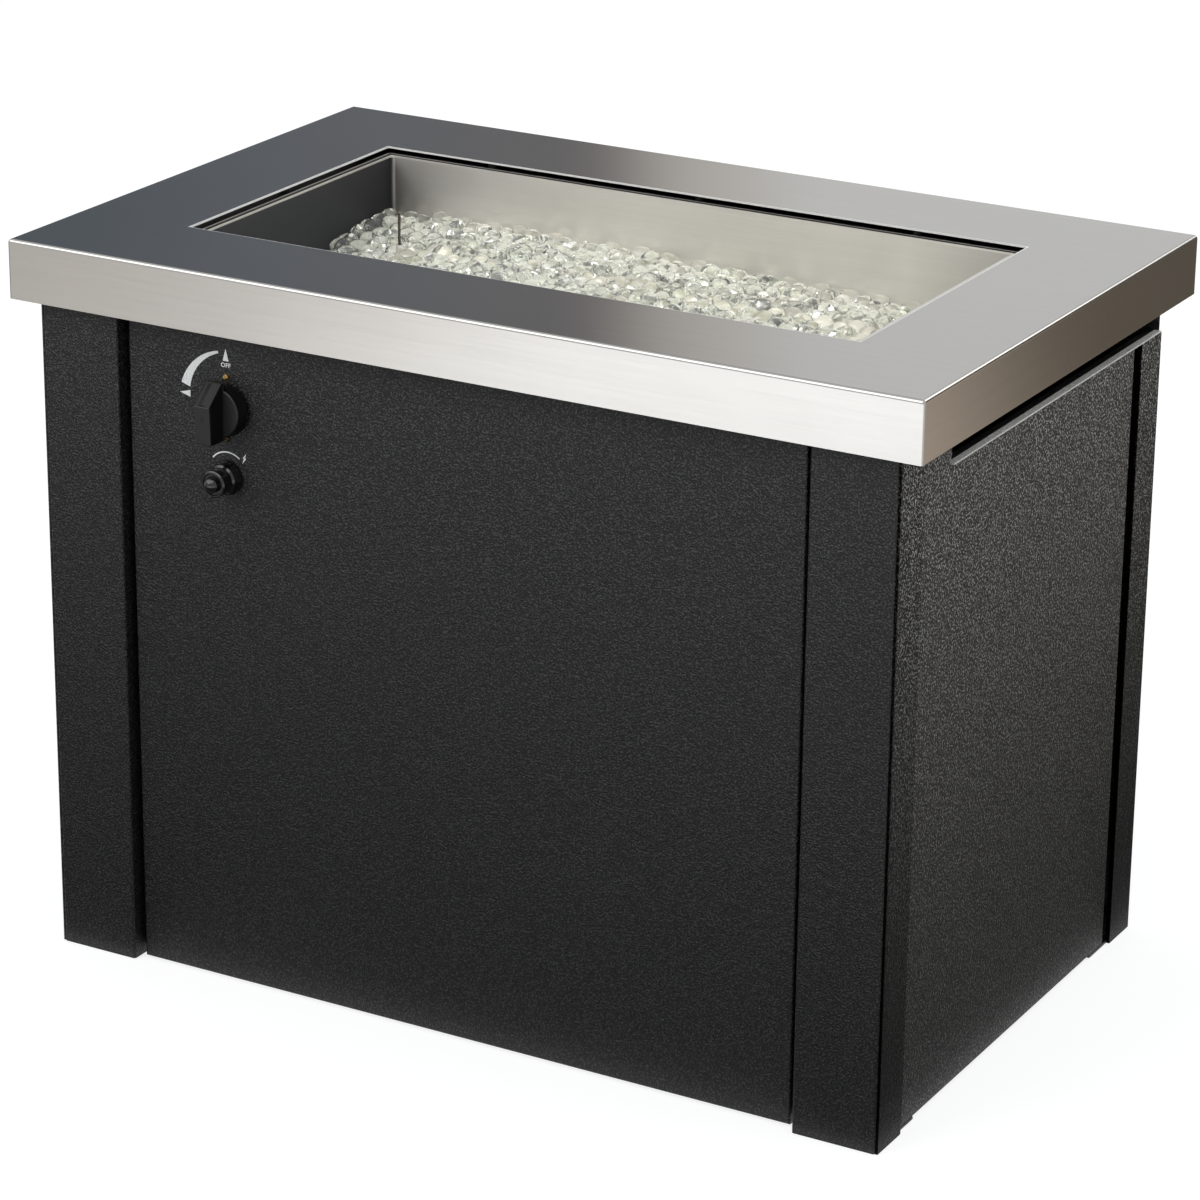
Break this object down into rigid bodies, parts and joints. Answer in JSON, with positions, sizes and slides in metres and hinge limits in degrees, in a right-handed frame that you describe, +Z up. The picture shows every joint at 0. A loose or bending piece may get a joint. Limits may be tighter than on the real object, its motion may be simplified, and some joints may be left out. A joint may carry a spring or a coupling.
{
  "type": "gas fire pit table",
  "caption": "Rectangular gas fire pit table: brushed steel top with a glass-filled burner pan, closed black steel base, control knob, igniter and side access door.",
  "frame": {"origin": "on the floor, under the middle of the object's box; the knob stands out in front of the top, so the top's own middle is 8 mm behind this", "axes": "+X along the long side towards the access door, +Y to the rear, away from the control panel, +Z up"},
  "size_m": [0.819, 0.5335, 0.622],
  "materials": {
    "brushed_stainless": "brushed along the length, satin",
    "pan_stainless": "plain mill finish, reflective",
    "black_powder_coat": "fine textured powder coat, low gloss",
    "zinc_steel": "bright zinc plating",
    "brass": "turned, plain",
    "aluminium": "plain cast or drawn",
    "clear_glass": "clear tumbled pieces with a faint green cast",
    "black_plastic": "moulded, satin black",
    "white_ceramic": "glazed white ceramic with a steel rod",
    "spring_steel": "plain spring wire",
    "cell_jacket": "plain jacket with no print",
    "silicone_rubber": "silicone insulation"
  },
  "bodies": {
    "table": {"table_top": "brushed_stainless", "front_top_channel": "zinc_steel", "rear_top_channel": "zinc_steel", "burner_pan": "pan_stainless", "pan_spacers": "zinc_steel", "pan_nuts": "zinc_steel", "post_nuts": "zinc_steel", "burner": "pan_stainless", "left_burner_saddle": "pan_stainless", "right_burner_saddle": "pan_stainless", "burner_locknut": "zinc_steel", "fire_glass": "clear_glass", "electrode_bracket": "pan_stainless", "spark_electrode": "white_ceramic", "feed_elbow": "aluminium", "air_mixer": "aluminium", "gas_orifice": "brass", "gas_line": "aluminium", "gas_line_nuts": "brass", "heat_shield": "zinc_steel", "corner_glides": "black_plastic", "front_panel": "black_powder_coat", "rear_panel": "black_powder_coat", "left_panel": "black_powder_coat", "front_frame": "black_powder_coat", "rear_frame": "black_powder_coat", "panel_screws": "zinc_steel", "right_header": "black_powder_coat", "left_header": "black_powder_coat", "lower_hinge_bracket": "black_powder_coat", "upper_hinge_bracket": "black_powder_coat", "door_rest": "black_powder_coat", "magnet_catch": "black_plastic", "floor_shelf": "black_powder_coat", "valve_body": "brass", "valve_spring": "spring_steel", "valve_screws": "brass", "igniter_case": "black_plastic", "igniter_bezel": "black_plastic", "igniter_cap": "black_plastic", "igniter_spring": "spring_steel", "igniter_cell": "cell_jacket", "ignition_lead": "silicone_rubber", "front_left_post": "black_powder_coat", "front_left_strip": "black_powder_coat", "front_right_post": "black_powder_coat", "front_right_strip": "black_powder_coat", "rear_left_post": "black_powder_coat", "rear_left_strip": "black_powder_coat", "rear_right_post": "black_powder_coat", "rear_right_strip": "black_powder_coat"},
    "door": {"access_door": "black_powder_coat", "hinge_pins": "zinc_steel", "strike_plate": "zinc_steel"},
    "valve_plug": {"valve_rotor": "brass"},
    "knob": {"control_knob": "black_plastic", "valve_stem": "zinc_steel"},
    "igniter_push_button": {"igniter_button": "black_plastic"}
  },
  "joints": [
    {"name": "door_swing", "type": "hinge", "parent": "table", "child": "door", "pos_m": [0.3815, -0.19, 0.004], "axis": [0, 0, -1], "range_deg": [0, 105]},
    {"name": "knob_turn", "type": "hinge", "parent": "table", "child": "valve_plug", "pos_m": [-0.2125, -0.231, 0.5065], "axis": [0, -1, 0], "range_deg": [0, 90]},
    {"name": "knob_push", "type": "slide", "parent": "valve_plug", "child": "knob", "axis": [0, 1, 0], "range_m": [0, 0.003], "stiffness_N_per_m": 2500, "springref_m": -0.002, "deforming": ["valve_spring"]},
    {"name": "igniter_push", "type": "slide", "parent": "table", "child": "igniter_push_button", "axis": [0, 1, 0], "range_m": [0, 0.003], "stiffness_N_per_m": 2000, "springref_m": -0.002, "deforming": ["igniter_spring"]}
  ]
}
